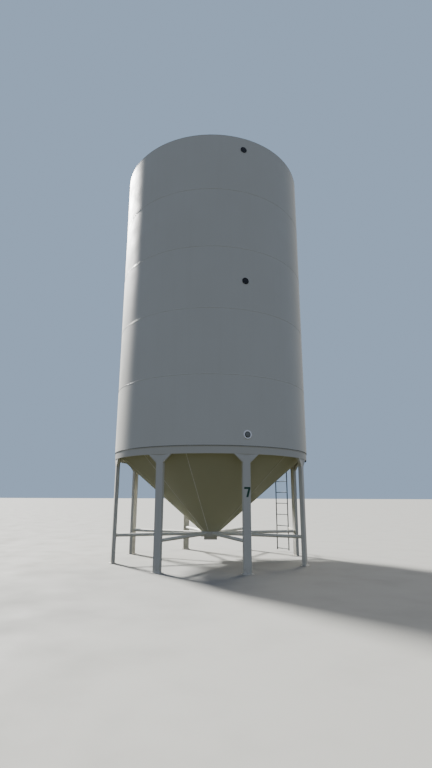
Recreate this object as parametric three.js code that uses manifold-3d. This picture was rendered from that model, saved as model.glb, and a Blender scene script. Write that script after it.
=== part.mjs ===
// Smooth-wall grain silo: a welded steel cylinder with a cone roof, standing on a
// hopper cone, eight box-section legs and a slide gate under the outlet.
// Millimetres, +Z up. The origin is on the ground, on the axis of the silo.
// Azimuths are in degrees from the front (-Y), positive towards the right (+X).

import * as THREE from 'three';
import { mergeVertices } from 'three/addons/utils/BufferGeometryUtils.js';
import Module from 'manifold-3d';

const wasm = await Module();
wasm.setup();

// Driving dimensions
const facetCount = 48;
const facetAngle = 360 / facetCount;
const seat = 0.3;

const wallRadius = 2410;
const wallThickness = 3.4;
const courseHeight = 1524;
const courseCount = 5;
const halfSeamAzimuth = -90;
const courseSeamShift = 15;
const ledgeTop = 2506;
const eaveHeight = ledgeTop + courseHeight * courseCount;

const ledgeThickness = 12;
const ledgeRadius = 2412;
const ledgeInnerRadius = 2380;
const ledgeBottom = ledgeTop - ledgeThickness;
const skirtRadius = 2400;
const skirtThickness = 8;
const skirtBottom = 2338;

const coneTopRadius = 2384.6;
const coneOutletRadius = 228;
const coneTop = ledgeBottom - seat;
const coneBottom = 654;
const coneThickness = 4.8;
const coneSeamAzimuth = -85;
const coneSlope = Math.atan2(coneTop - coneBottom, coneTopRadius - coneOutletRadius);

const roofSlope = THREE.MathUtils.degToRad(30);
const roofThickness = 3.4;
const roofRadius = 2418;
const roofLip = 6;
const roofBottom = eaveHeight + seat;
const roofHoleRadius = 300;
const eaveInset = 12;

const legCount = 8;
const firstLegAzimuth = 18.75;
const legWidth = 165;
const legDepth = 85;
const legSheet = 6;
const legHeadWidth = 540;
const legHeadHeight = 175;
const legHeadFlange = 60;
const footWidth = 220;
const footLength = 150;
const footThickness = 12;

const braceRadius = 38;
const braceSides = 16;
const braceHeight = 610;
const collarOuterRadius = 236;
const collarInnerRadius = 224;
const collarBottom = braceHeight - braceRadius;

const gateFrameHalf = 230;
const gateFrameTop = collarBottom - seat;
const gatePlateSheet = 10;
const gateClearance = 5;
const slideThickness = 6;
const slideHalf = 210;
const gateHoleRadius = 200;
const gateRailEnd = 640;
const gateRailWidth = 35;
const spoutHalf = 160;
const spoutSheet = 5;
const spoutBottom = 465;
const slideTail = 60;
const slideGripHalf = 70;
const slideGripDrop = 50;
const cutPastFace = 1;

const fillCollarSheet = 8;
const fillCollarTop = 11480;
const fillCollarBottom = 11300;
const fillLidRadius = 308;
const fillLidSheet = 4;
const fillLidSkirt = 40;
const fillLidRise = 72;
const lidFacets = 24;
const domeStepsInside = 5;
const domeStepsOutside = 6;

const ladderAzimuth = 129.8;
const ladderStandOff = 190;
const ladderWidth = 420;
const railDepth = 40;
const railSheet = 8;
const ladderFoot = 45;
const ladderSectionCount = 3;
const rungsPerSection = 12;
const rungPitch = 305;
const firstRung = 40;
const rungRadius = 11;
const rungSides = 8;
const ladderBracketHeights = [[2420], [4100, 6400], [8000, 9980]];
const stayLeg = 3;
const stayHeight = 635;
const stayDepth = 65;
const staySheet = 8;
const stayOverrun = 6;

const roofLadderLift = 70;
const roofLadderWidth = 380;
const roofLadderStart = 2280;
const roofLadderEnd = 420;
const roofLadderFeet = [0.06, 0.5, 0.94];

const hatchAzimuth = 112;
const hatchDistance = 1960;
const hatchRadius = 280;
const hatchSheet = 6;
const hatchHeight = 150;
const hatchLidRadius = 296;
const hatchLidRise = 70;

const glassAzimuth = 18.75;
const glassOffset = 15;
const glasses = [
  { height: 2739, flangeRadius: 94, lensRadius: 65 },
  { height: 6258, flangeRadius: 79, lensRadius: 70 },
  { height: 9801, flangeRadius: 79, lensRadius: 70 },
];
const glassFacets = 24;
const glassFlangeThickness = 12;
const glassLensThickness = 8;

// Materials
const paint = { color: 0xe6e5dc, roughness: 0.42, metalness: 0.0 };
const conePaint = { color: 0xdedccf, roughness: 0.5, metalness: 0.0 };
const galvanised = { color: 0x6b6f70, roughness: 0.5, metalness: 0.8 };
const gateSteel = { color: 0x8d8f90, roughness: 0.45, metalness: 0.8 };
const darkGlass = { color: 0x1a2028, roughness: 0.12, metalness: 0.0 };

// Helpers: solids in and out of the boolean library
const radians = THREE.MathUtils.degToRad;
const up = new THREE.Vector3(0, 0, 1);

function solidOf(geometry) {
  const bare = geometry.clone();
  bare.deleteAttribute('normal');
  bare.deleteAttribute('uv');
  const merged = mergeVertices(bare);
  return new wasm.Manifold(new wasm.Mesh({
    numProp: 3,
    vertProperties: new Float32Array(merged.attributes.position.array),
    triVerts: new Uint32Array(merged.index.array),
  }));
}

function geometryOf(solid) {
  const mesh = solid.getMesh();
  const geometry = new THREE.BufferGeometry();
  geometry.setAttribute('position', new THREE.BufferAttribute(mesh.vertProperties, 3));
  geometry.setIndex(new THREE.BufferAttribute(mesh.triVerts, 1));
  geometry.computeVertexNormals();
  return geometry;
}

function union(geometries) {
  return geometryOf(geometries.map(solidOf).reduce((sum, next) => sum.add(next)));
}

function subtract(geometry, cutters) {
  return geometryOf(cutters.map(solidOf).reduce((rest, cutter) => rest.subtract(cutter), solidOf(geometry)));
}

// A box between two corners
function boxBetween(low, high) {
  const size = high.map((value, axis) => value - low[axis]);
  const box = new THREE.BoxGeometry(...size);
  return box.translate(...high.map((value, axis) => (value + low[axis]) / 2));
}

// A ring about Z from a closed profile of [radius, height] points, outer side going up
function turned(profile, segments = facetCount) {
  const points = profile.map(([radius, height]) => new THREE.Vector2(radius, height));
  return new THREE.LatheGeometry(points, segments).rotateX(Math.PI / 2);
}

function turnedRing(profile, segments) {
  return turned([...profile, profile[0]], segments);
}

// An outline of [x, z] points in a plane facing -Y, from y = front back to y = back
function plateFacingFront(outline, front, back) {
  const shape = new THREE.Shape(outline.map(([x, z]) => new THREE.Vector2(x, z)));
  const plate = new THREE.ExtrudeGeometry(shape, { depth: back - front, bevelEnabled: false });
  return plate.rotateX(Math.PI / 2).translate(0, back, 0);
}

// An outline of [y, z] points in a plane facing X, from x = low to x = high
function plateFacingSide(outline, low, high) {
  const shape = new THREE.Shape(outline.map(([y, z]) => new THREE.Vector2(y, z)));
  const plate = new THREE.ExtrudeGeometry(shape, { depth: high - low, bevelEnabled: false });
  return plate.rotateX(Math.PI / 2).rotateZ(Math.PI / 2).translate(low, 0, 0);
}

// A round bar between two points
function bar(start, end, radius, sides) {
  const from = new THREE.Vector3(...start);
  const to = new THREE.Vector3(...end);
  const length = from.distanceTo(to);
  const rod = new THREE.CylinderGeometry(radius, radius, length, sides);
  const turn = new THREE.Quaternion().setFromUnitVectors(
    new THREE.Vector3(0, 1, 0),
    to.clone().sub(from).normalize(),
  );
  rod.applyQuaternion(turn);
  return rod.translate(...from.add(to).multiplyScalar(0.5).toArray());
}

// A wedge about Z that cuts one segment out of a ring, half a joint gap back on each side
function sectorWedge(startAzimuth, endAzimuth) {
  const reach = 3 * wallRadius;
  const middle = radians((startAzimuth + endAzimuth) / 2);
  const half = radians((endAzimuth - startAzimuth) / 2);
  const setBack = seat / 2 / Math.sin(half);
  const apex = new THREE.Vector2(Math.sin(middle), -Math.cos(middle)).multiplyScalar(setBack);
  const corner = (angle) => {
    const direction = new THREE.Vector2(Math.sin(angle), -Math.cos(angle));
    return direction.multiplyScalar(reach).add(apex);
  };
  const shape = new THREE.Shape([
    apex,
    corner(middle - half),
    corner(middle - half / 2),
    corner(middle + half / 2),
    corner(middle + half),
  ]);
  return new THREE.ExtrudeGeometry(shape, { depth: eaveHeight + reach, bevelEnabled: false });
}

// A ring cut at equal spans, the first of which starts at an azimuth
function segmentsOf(ring, count, firstStart) {
  const whole = solidOf(ring);
  const span = 360 / count;
  return Array.from({ length: count }, (_, index) => {
    const start = firstStart + index * span;
    return geometryOf(whole.intersect(solidOf(sectorWedge(start, start + span))));
  });
}

const silo = new THREE.Group();

function addMesh(parent, name, geometry, look) {
  const mesh = new THREE.Mesh(geometry, new THREE.MeshStandardMaterial(look));
  mesh.name = name;
  parent.add(mesh);
  return mesh;
}

// A group whose -Y side faces outward at an azimuth
function groupAt(azimuth) {
  const group = new THREE.Group();
  group.rotation.z = radians(azimuth);
  silo.add(group);
  return group;
}

// Wall: five courses of two rolled plates, with the upright seams staggered
const wallInnerRadius = wallRadius - wallThickness;
for (let course = 1; course <= courseCount; course += 1) {
  const bottom = ledgeTop + (course - 1) * courseHeight + seat;
  const top = ledgeTop + course * courseHeight;
  const ring = turnedRing([
    [wallInnerRadius, bottom],
    [wallRadius, bottom],
    [wallRadius, top],
    [wallInnerRadius, top],
  ]);
  const seamAzimuth = halfSeamAzimuth + (course % 2 === 0 ? courseSeamShift : 0);
  const [front, back] = segmentsOf(ring, 2, seamAzimuth);
  addMesh(silo, `wall_course_${course}_front`, front, paint);
  addMesh(silo, `wall_course_${course}_back`, back, paint);
}

// Skirt band, a little narrower than the wall, with the ledge flange on top of it
const skirtInnerRadius = skirtRadius - skirtThickness;
const skirtRing = turnedRing([
  [skirtInnerRadius, skirtBottom],
  [skirtRadius, skirtBottom],
  [skirtRadius, ledgeBottom],
  [ledgeRadius, ledgeBottom],
  [ledgeRadius, ledgeTop],
  [ledgeInnerRadius, ledgeTop],
  [ledgeInnerRadius, ledgeBottom],
  [skirtInnerRadius, ledgeBottom],
]);
const [skirtFront, skirtBack] = segmentsOf(skirtRing, 2, halfSeamAzimuth);
addMesh(silo, 'skirt_front', skirtFront, paint);
addMesh(silo, 'skirt_back', skirtBack, paint);

// Hopper cone from the underside of the ledge down to the outlet
const coneWallAcross = coneThickness / Math.sin(coneSlope);
const coneRing = turnedRing([
  [coneOutletRadius - coneWallAcross, coneBottom],
  [coneOutletRadius, coneBottom],
  [coneTopRadius, coneTop],
  [coneTopRadius - coneWallAcross, coneTop],
]);
const [coneFront, coneBack] = segmentsOf(coneRing, 2, coneSeamAzimuth);
addMesh(silo, 'hopper_cone_front', coneFront, conePaint);
addMesh(silo, 'hopper_cone_back', coneBack, conePaint);

// Height of the outside of the cone at a radius
function coneHeightAt(radius) {
  return coneTop - (coneTopRadius - radius) * Math.tan(coneSlope);
}

// Roof: a cone with a stiff eave, open at the top for the fill collar
const roofSheetUp = roofThickness / Math.cos(roofSlope);
const eaveInnerRadius = wallRadius - eaveInset;

function roofHeightAt(radius) {
  return roofBottom + roofLip + (roofRadius - radius) * Math.tan(roofSlope);
}

const roofRing = turnedRing([
  [eaveInnerRadius, roofBottom],
  [roofRadius, roofBottom],
  [roofRadius, roofBottom + roofLip],
  [roofHoleRadius, roofHeightAt(roofHoleRadius)],
  [roofHoleRadius, roofHeightAt(roofHoleRadius) - roofSheetUp],
  [eaveInnerRadius, roofHeightAt(eaveInnerRadius) - roofSheetUp],
]);
const [roofFront, roofBack] = segmentsOf(roofRing, 2, halfSeamAzimuth);
addMesh(silo, 'roof_front', roofFront, paint);
addMesh(silo, 'roof_back', roofBack, paint);

// The space that the roof and what is under it fill, grown by a seat, for trimming what stands on it
const roofEnvelope = turned([
  [0, eaveHeight],
  [roofRadius + seat, eaveHeight],
  [roofRadius + seat, roofBottom + roofLip + seat],
  [0, roofHeightAt(0) + seat],
]);

// The space that the wall and the skirt fill, grown by a seat, for trimming what touches them
const wallEnvelope = turned([
  [0, 0],
  [skirtRadius + seat, 0],
  [skirtRadius + seat, ledgeBottom - seat],
  [wallRadius + seat, ledgeBottom - seat],
  [wallRadius + seat, eaveHeight],
  [0, eaveHeight],
]);

// Legs: box sections on a foot plate, with a flared head plate under the skirt
const skirtFlat = skirtInnerRadius * Math.cos(radians(facetAngle / 2));
const legFace = -(skirtFlat - seat);
const legBack = legFace + legDepth;
const faceMiddle = legFace + legSheet / 2;
const halfLeg = legWidth / 2;
const halfHead = legHeadWidth / 2;
const headTop = skirtBottom - seat;
const headBottom = headTop - legHeadHeight;

function legGeometry() {
  const stemTop = coneHeightAt(-(legFace + legSheet)) - seat;
  const stem = plateFacingSide([
    [legFace, 0],
    [legBack, 0],
    [legBack, coneHeightAt(-legBack) - seat],
    [legFace + legSheet, stemTop],
    [legFace, stemTop],
  ], -halfLeg, halfLeg);
  const inside = boxBetween(
    [-halfLeg + legSheet, legFace + legSheet, footThickness],
    [halfLeg - legSheet, legBack - legSheet, stemTop + cutPastFace],
  );
  const slope = (halfHead - halfLeg) / legHeadHeight;
  const edgeAcross = legSheet * Math.hypot(1, slope) / slope;
  const pieces = [stem];
  for (const side of [-1, 1]) {
    const outer = side * halfLeg;
    const tip = side * halfHead;
    pieces.push(plateFacingFront([
      [outer - side * legSheet, headBottom],
      [outer, headBottom],
      [tip, headTop],
      [outer - side * legSheet, headTop],
    ], legFace, legFace + legSheet));
    pieces.push(plateFacingFront([
      [outer, headBottom],
      [tip, headTop],
      [tip - side * edgeAcross * slope, headTop],
      [outer, headBottom + edgeAcross],
    ], faceMiddle, legFace + legHeadFlange));
  }
  const footMiddle = (legFace + legBack) / 2;
  pieces.push(boxBetween(
    [-footWidth / 2, footMiddle - footLength / 2, 0],
    [footWidth / 2, footMiddle + footLength / 2, footThickness],
  ));
  return subtract(union(pieces), [inside]);
}

// Braces: one pipe from the inner face of each leg to the collar
function braceGeometry() {
  const outer = legBack + seat;
  const inner = -(collarOuterRadius + seat);
  return bar([0, outer, braceHeight], [0, inner, braceHeight], braceRadius, braceSides);
}

for (let index = 0; index < legCount; index += 1) {
  const place = groupAt(firstLegAzimuth + index * 360 / legCount);
  addMesh(place, `leg_${index + 1}`, legGeometry(), paint);
  addMesh(place, `brace_${index + 1}`, braceGeometry(), paint);
}

// Outlet collar between the cone and the gate
addMesh(silo, 'outlet_collar', turnedRing([
  [collarInnerRadius, collarBottom],
  [collarOuterRadius, collarBottom],
  [collarOuterRadius, coneBottom - seat],
  [collarInnerRadius, coneBottom - seat],
]), paint);

// Slide gate: a frame with two runners to the back, and a plate that draws out along +Y
const slotTop = gateFrameTop - gatePlateSheet;
const slotBottom = slotTop - gateClearance - slideThickness - seat;
const gateFrameBottom = slotBottom - gatePlateSheet;
const slotHalf = slideHalf + gateClearance;

function gateFrameGeometry() {
  const railInner = gateFrameHalf - gateRailWidth;
  const body = union([
    boxBetween(
      [-gateFrameHalf, -gateFrameHalf, gateFrameBottom],
      [gateFrameHalf, gateFrameHalf, gateFrameTop],
    ),
    boxBetween([railInner, 0, gateFrameBottom], [gateFrameHalf, gateRailEnd, slotTop]),
    boxBetween([-gateFrameHalf, 0, gateFrameBottom], [-railInner, gateRailEnd, slotTop]),
    boxBetween([-spoutHalf, -spoutHalf, spoutBottom], [spoutHalf, spoutHalf, slotBottom]),
  ]);
  const hole = new THREE.CylinderGeometry(gateHoleRadius, gateHoleRadius, 4 * gatePlateSheet, facetCount);
  hole.rotateX(Math.PI / 2).translate(0, 0, gateFrameTop);
  const spoutInner = spoutHalf - spoutSheet;
  return subtract(body, [
    boxBetween([-slotHalf, -slotHalf, slotBottom], [slotHalf, 2 * gateRailEnd, slotTop]),
    hole,
    boxBetween(
      [-spoutInner, -spoutInner, spoutBottom - cutPastFace],
      [spoutInner, spoutInner, slotBottom + cutPastFace],
    ),
  ]);
}

function gateSlideGeometry() {
  const bottom = slotBottom + seat;
  const back = gateFrameHalf + slideTail;
  return union([
    boxBetween([-slideHalf, -slideHalf, bottom], [slideHalf, back, bottom + slideThickness]),
    boxBetween(
      [-slideGripHalf, back - slideThickness, bottom - slideGripDrop],
      [slideGripHalf, back, bottom + slideThickness / 2],
    ),
  ]);
}

addMesh(silo, 'gate_frame', gateFrameGeometry(), paint);
addMesh(silo, 'gate_slide', gateSlideGeometry(), gateSteel);

// Fill collar and its domed lid at the top of the roof
const fillCollarRadius = roofHoleRadius - seat;
addMesh(silo, 'fill_collar', turnedRing([
  [fillCollarRadius - fillCollarSheet, fillCollarBottom],
  [fillCollarRadius, fillCollarBottom],
  [fillCollarRadius, fillCollarTop],
  [fillCollarRadius - fillCollarSheet, fillCollarTop],
]), paint);

// Points of a shallow dome from a rim radius in to the axis
function domePoints(rimRadius, rimHeight, rise, steps) {
  return Array.from({ length: steps + 1 }, (_, index) => {
    const turn = (index / steps) * Math.PI / 2;
    return [index === steps ? 0 : rimRadius * Math.cos(turn), rimHeight + rise * Math.sin(turn)];
  });
}

// A dished lid with a rim that hangs over a neck whose top is at seatHeight
function lidGeometry(neckRadius, lidRadius, sheet, skirt, rise, seatHeight) {
  const top = seatHeight + seat;
  const innerRadius = neckRadius - sheet;
  const inside = domePoints(innerRadius, top, rise - sheet, domeStepsInside).reverse();
  const outside = domePoints(lidRadius, top + sheet, rise - sheet / 2, domeStepsOutside);
  return turned([
    ...inside,
    [lidRadius - sheet, top],
    [lidRadius - sheet, top - skirt],
    [lidRadius, top - skirt],
    ...outside,
  ], lidFacets);
}

const fillLidGeometry = lidGeometry(
  fillCollarRadius - fillCollarSheet,
  fillLidRadius,
  fillLidSheet,
  fillLidSkirt,
  fillLidRise,
  fillCollarTop,
);
addMesh(silo, 'fill_lid', fillLidGeometry, paint);

// Roof hatch: a round neck square to the roof slope, with its own lid
function roofFrame(azimuth, distance) {
  const frame = new THREE.Matrix4().makeRotationZ(radians(azimuth));
  frame.multiply(new THREE.Matrix4().makeTranslation(0, -distance, roofHeightAt(distance)));
  return frame.multiply(new THREE.Matrix4().makeRotationX(roofSlope));
}

const hatchFrame = roofFrame(hatchAzimuth, hatchDistance);
const hatchNeck = turnedRing([
  [hatchRadius - hatchSheet, -hatchHeight],
  [hatchRadius, -hatchHeight],
  [hatchRadius, hatchHeight],
  [hatchRadius - hatchSheet, hatchHeight],
], lidFacets).applyMatrix4(hatchFrame);
addMesh(silo, 'hatch_neck', subtract(hatchNeck, [roofEnvelope]), paint);

const hatchPlace = new THREE.Group();
hatchPlace.applyMatrix4(hatchFrame);
silo.add(hatchPlace);
const hatchLidGeometry = lidGeometry(
  hatchRadius - hatchSheet,
  hatchLidRadius,
  fillLidSheet,
  fillLidSkirt,
  hatchLidRise,
  hatchHeight,
);
addMesh(hatchPlace, 'hatch_lid', hatchLidGeometry, paint);

// Wall ladder: three sections of flat rails and round rungs, with stand-off brackets to the wall
const ladderSectionHeight = rungsPerSection * rungPitch;

function ladderSectionGeometry(section) {
  const front = -(wallRadius + ladderStandOff + railDepth);
  const rungLine = front + railDepth / 2;
  const halfWidth = ladderWidth / 2;
  const bottom = ladderFoot + section * ladderSectionHeight;
  const top = bottom + ladderSectionHeight - seat;
  const pieces = [];
  for (const side of [-1, 1]) {
    const low = Math.min(side * halfWidth, side * (halfWidth + railSheet));
    pieces.push(boxBetween([low, front, bottom], [low + railSheet, front + railDepth, top]));
    for (const height of ladderBracketHeights[section]) {
      pieces.push(boxBetween(
        [low, rungLine, height - railDepth / 2],
        [low + railSheet, -(wallRadius - railDepth), height + railDepth / 2],
      ));
    }
  }
  for (let index = 0; index < rungsPerSection; index += 1) {
    const height = bottom + firstRung + index * rungPitch;
    pieces.push(bar(
      [-halfWidth - railSheet / 2, rungLine, height],
      [halfWidth + railSheet / 2, rungLine, height],
      rungRadius,
      rungSides,
    ));
  }
  const whole = union(pieces).rotateZ(radians(ladderAzimuth));
  return subtract(whole, [wallEnvelope]);
}

for (let section = 0; section < ladderSectionCount; section += 1) {
  addMesh(silo, `wall_ladder_${section + 1}`, ladderSectionGeometry(section), galvanised);
}

// Stay: a flat bar from the side of a leg to the nearer rail, cut back at both ends to meet them squarely
function stayGeometry() {
  const legTurn = radians(firstLegAzimuth + (stayLeg - 1) * 360 / legCount);
  const ladderTurn = radians(ladderAzimuth);
  const railFace = -(ladderWidth / 2 + railSheet);
  const railMiddle = -(wallRadius + ladderStandOff + railDepth / 2);
  const start = new THREE.Vector3(halfLeg, (legFace + legBack) / 2, stayHeight).applyAxisAngle(up, legTurn);
  const end = new THREE.Vector3(railFace, railMiddle, stayHeight).applyAxisAngle(up, ladderTurn);
  const along = end.clone().sub(start);
  const flat = boxBetween(
    [-stayOverrun, -staySheet / 2, -stayDepth / 2],
    [along.length() + stayOverrun, staySheet / 2, stayDepth / 2],
  ).rotateZ(Math.atan2(along.y, along.x)).translate(...start.toArray());
  const legSpace = boxBetween(
    [-halfLeg, legFace, 0],
    [halfLeg + seat, legBack, skirtBottom],
  ).rotateZ(legTurn);
  const railSpace = boxBetween(
    [railFace - seat, railMiddle - railDepth / 2, 0],
    [railFace + railDepth, railMiddle + railDepth / 2, skirtBottom],
  ).rotateZ(ladderTurn);
  return subtract(flat, [legSpace, railSpace]);
}

addMesh(silo, 'ladder_stay', stayGeometry(), paint);

// Roof ladder: rails along the slope on short feet, laid out with Y up the slope and Z square to the roof
function roofLadderGeometry() {
  const halfWidth = roofLadderWidth / 2;
  const length = (roofLadderStart - roofLadderEnd) / Math.cos(roofSlope);
  const rungLine = roofLadderLift + railDepth / 2;
  const pieces = [];
  for (const side of [-1, 1]) {
    const low = Math.min(side * halfWidth, side * (halfWidth + railSheet));
    pieces.push(boxBetween([low, 0, roofLadderLift], [low + railSheet, length, roofLadderLift + railDepth]));
    for (const share of roofLadderFeet) {
      const middle = share * length;
      pieces.push(boxBetween(
        [low, middle - railDepth / 2, -railDepth],
        [low + railSheet, middle + railDepth / 2, rungLine],
      ));
    }
  }
  const rungCount = Math.floor(length / rungPitch);
  const firstRungAlong = (length - (rungCount - 1) * rungPitch) / 2;
  for (let index = 0; index < rungCount; index += 1) {
    const along = firstRungAlong + index * rungPitch;
    pieces.push(bar(
      [-halfWidth - railSheet / 2, along, rungLine],
      [halfWidth + railSheet / 2, along, rungLine],
      rungRadius,
      rungSides,
    ));
  }
  const whole = union(pieces).applyMatrix4(roofFrame(ladderAzimuth, roofLadderStart));
  return subtract(whole, [roofEnvelope]);
}

addMesh(silo, 'roof_ladder', roofLadderGeometry(), galvanised);

// Sight glasses: a round flange on the wall with a lens standing in it
const wallFlat = wallRadius * Math.cos(radians(facetAngle / 2));
glasses.forEach(({ height, flangeRadius, lensRadius }, index) => {
  const flangeFront = glassFlangeThickness;
  const lensFront = glassFlangeThickness + glassLensThickness;
  const disc = turned([
    [0, 0],
    [flangeRadius, 0],
    [flangeRadius, flangeFront],
    [lensRadius, flangeFront],
    [lensRadius, lensFront],
    [0, lensFront],
  ], glassFacets).rotateX(Math.PI / 2);
  const mesh = addMesh(groupAt(glassAzimuth), `sight_glass_${index + 1}`, disc, darkGlass);
  mesh.position.set(glassOffset, -(wallFlat + seat), height);
});

export default silo;
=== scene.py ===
import math
from functools import partial

import bmesh
import bpy
from mathutils import Matrix, Vector


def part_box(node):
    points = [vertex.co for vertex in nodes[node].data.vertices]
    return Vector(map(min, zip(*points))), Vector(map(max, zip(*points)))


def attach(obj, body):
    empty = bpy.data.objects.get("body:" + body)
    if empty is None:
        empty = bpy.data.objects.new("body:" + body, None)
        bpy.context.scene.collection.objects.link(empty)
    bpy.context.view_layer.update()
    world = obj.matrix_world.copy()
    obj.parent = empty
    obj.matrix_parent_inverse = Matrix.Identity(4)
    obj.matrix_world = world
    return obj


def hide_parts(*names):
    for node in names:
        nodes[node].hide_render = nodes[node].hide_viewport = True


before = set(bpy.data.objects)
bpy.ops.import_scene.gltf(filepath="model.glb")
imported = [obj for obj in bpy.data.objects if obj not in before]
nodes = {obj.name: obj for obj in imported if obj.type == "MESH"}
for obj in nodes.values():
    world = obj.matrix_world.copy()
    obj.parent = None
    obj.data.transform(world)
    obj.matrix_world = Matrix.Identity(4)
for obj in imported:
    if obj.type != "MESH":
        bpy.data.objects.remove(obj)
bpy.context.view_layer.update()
onLevel = 0.001  # a corner this near a height or a face lies on it


# Places: azimuths are in degrees from the front (-Y), positive towards the right (+X)

def onCircle(azimuth, radius, height):
    angle = math.radians(azimuth)
    return Vector((radius * math.sin(angle), -radius * math.cos(angle), height))


def outward(azimuth):
    return onCircle(azimuth, 1.0, 0.0)


def sideways(azimuth):
    return outward(azimuth + 90)


def fromAxis(azimuth, side, distance, height):  # sideways, outwards and up from the axis
    return sideways(azimuth) * side + outward(azimuth) * distance + Vector((0, 0, height))


def turned(azimuth):
    return Matrix.Rotation(math.radians(azimuth), 4, "Z")


def facingOut(azimuth, place):  # for a shape made along Z
    return Matrix.Translation(place) @ turned(azimuth) @ Matrix.Rotation(math.radians(90), 4, "X")


def evenSteps(whole, count):  # from nothing up, without the whole
    return [whole * step / count for step in range(count)]


def azimuthOf(node):
    vertices = nodes[node].data.vertices
    middle = sum((vertex.co for vertex in vertices), Vector()) / len(vertices)
    return math.degrees(math.atan2(middle.x, -middle.y))


def reachOf(node, azimuth):  # nearest and furthest distance of a node from the axis, along an azimuth
    along = [vertex.co.dot(outward(azimuth)) for vertex in nodes[node].data.vertices]
    return min(along), max(along)


def heightsOf(node):
    low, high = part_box(node)
    return low.z, high.z


def widestRadius(node, below=math.inf):  # of its corners under a height
    corners = [vertex.co for vertex in nodes[node].data.vertices if vertex.co.z < below]
    return max(math.hypot(corner.x, corner.y) for corner in corners)


# Colours and nodes

def toLinear(hexColour):
    channels = [int(hexColour[i:i + 2], 16) / 255 for i in (1, 3, 5)]
    curve = [c / 12.92 if c <= 0.04045 else ((c + 0.055) / 1.055) ** 2.4 for c in channels]
    return (*curve, 1.0)


def setInputs(node, inputs):  # a node stands for its first output in use, a list for several links
    for name, given in inputs.items():
        for value in given if isinstance(given, list) else [given]:
            if isinstance(value, bpy.types.Node):
                value = next(socket for socket in value.outputs if socket.enabled)
            if isinstance(value, bpy.types.NodeSocket):
                node.id_data.links.new(value, node.inputs[name])
            else:
                node.inputs[name].default_value = value


def addNode(tree, kind, inputs=None, **settings):
    node = tree.nodes.new(kind)
    for name, value in settings.items():
        setattr(node, name, value)
    setInputs(node, inputs or {})
    return node


def newMaterial(name, colour, roughness, metallic=0.0, ior=1.5):
    material = bpy.data.materials.new(name)
    material.use_nodes = True
    add = partial(addNode, material.node_tree)
    shader = material.node_tree.nodes["Principled BSDF"]
    setInputs(shader, {"Base Color": toLinear(colour), "Roughness": roughness, "Metallic": metallic})
    if metallic < 0.5:  # a metal keeps the default
        shader.inputs["IOR"].default_value = ior
    return material, add, shader, add("ShaderNodeTexCoord").outputs["Object"]


# A cloudy pattern whose patches have a real size, spread from one range of values to another
def pattern(add, place, millimetres, detail, seen=(0.0, 1.0), given=(0.0, 1.0), stretch=(1, 1, 1)):
    laid = add("ShaderNodeMapping", {"Vector": place, "Scale": stretch})
    grain = add("ShaderNodeTexNoise", {"Vector": laid, "Scale": 1000 / millimetres, "Detail": detail})
    return add("ShaderNodeMapRange", {0: grain, 1: seen[0], 2: seen[1], 3: given[0], 4: given[1]})


# White powder coat on steel sheet: semi-gloss, a trace of dust in streaks, soil splashed up at the feet
paint = {
    "streakColour": "#bdb9a6", "cloudShare": 0.07, "streakShare": 0.05,
    "soilColour": "#8d8163", "soilShare": 0.4, "soilHeight": 0.2,
    # the seam values paint a highlight along the level welds
    "seamHighlightColour": "#f4f3ec", "seamHighlightShare": 0.3, "seamHighlightHalfWidth": 0.05,
    "waveDepth": 0.0016, "orangePeelDepth": 0.00012,
}
paintMillimetres = {  # the size of each pattern; real orange peel, about 2 mm, would be too fine to show
    "cloud": 1250, "streak": 143, "soil": 42, "seam": 111, "gloss": 333, "wave": 625, "orangePeel": 5.3,
}


def paintMaterial(name, colour, roughness, seamStart=None, seamPitch=1.0):
    sizes = paintMillimetres
    material, add, shader, place = newMaterial(name, colour, roughness)
    height = add("ShaderNodeSeparateXYZ", {0: place}).outputs["Z"]
    clouds = pattern(add, place, sizes["cloud"], 3.0, (0.35, 0.7), (0.0, paint["cloudShare"]))
    dust = (0.0, paint["streakShare"])
    streaks = pattern(add, place, sizes["streak"], 5.0, (0.5, 0.78), dust, stretch=(1, 1, 0.06))
    splash = add("ShaderNodeMapRange", {0: height, 2: paint["soilHeight"], 3: paint["soilShare"], 4: 0.0})
    speckle = pattern(add, place, sizes["soil"], 6.0, (0.4, 0.65), (0.15, 1.0))
    soil = add("ShaderNodeMath", {0: splash, 1: speckle}, operation="MULTIPLY")
    layers = [(clouds, paint["streakColour"]), (streaks, paint["streakColour"]), (soil, paint["soilColour"])]
    if seamStart is not None:  # painted highlight: the paint along the level welds is a little paler, for the glints on the welds
        offset = add("ShaderNodeMath", {0: height, 1: seamStart}, operation="SUBTRACT")
        toSeam = add("ShaderNodeMath", {0: offset, 1: seamPitch / 2}, operation="PINGPONG")
        nearSeam = add("ShaderNodeMapRange", {0: toSeam, 2: paint["seamHighlightHalfWidth"], 3: 1.0, 4: 0.0})
        most = (0.0, paint["seamHighlightShare"])
        seamGlintStreaks = pattern(add, place, sizes["seam"], 6.0, (0.45, 0.7), most, stretch=(1, 1, 4))
        seamHighlight = add("ShaderNodeMath", {0: nearSeam, 1: seamGlintStreaks}, operation="MULTIPLY")
        layers.append((seamHighlight, paint["seamHighlightColour"]))
    surface = toLinear(colour)
    for share, over in layers:
        surface = add("ShaderNodeMix", {0: share, 6: surface, 7: toLinear(over)}, data_type="RGBA")
    wave = {"Height": pattern(add, place, sizes["wave"], 1.0), "Distance": paint["waveDepth"]}
    peel = {"Height": pattern(add, place, sizes["orangePeel"], 1.0), "Distance": paint["orangePeelDepth"]}
    waves = add("ShaderNodeBump", {**wave, "Strength": 0.6})
    bumps = add("ShaderNodeBump", {**peel, "Strength": 0.35, "Normal": waves})
    gloss = pattern(add, place, sizes["gloss"], 5.0, (0.3, 0.7), (roughness - 0.05, roughness + 0.09))
    setInputs(shader, {"Base Color": surface, "Roughness": gloss, "Normal": bumps})
    return material


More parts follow.
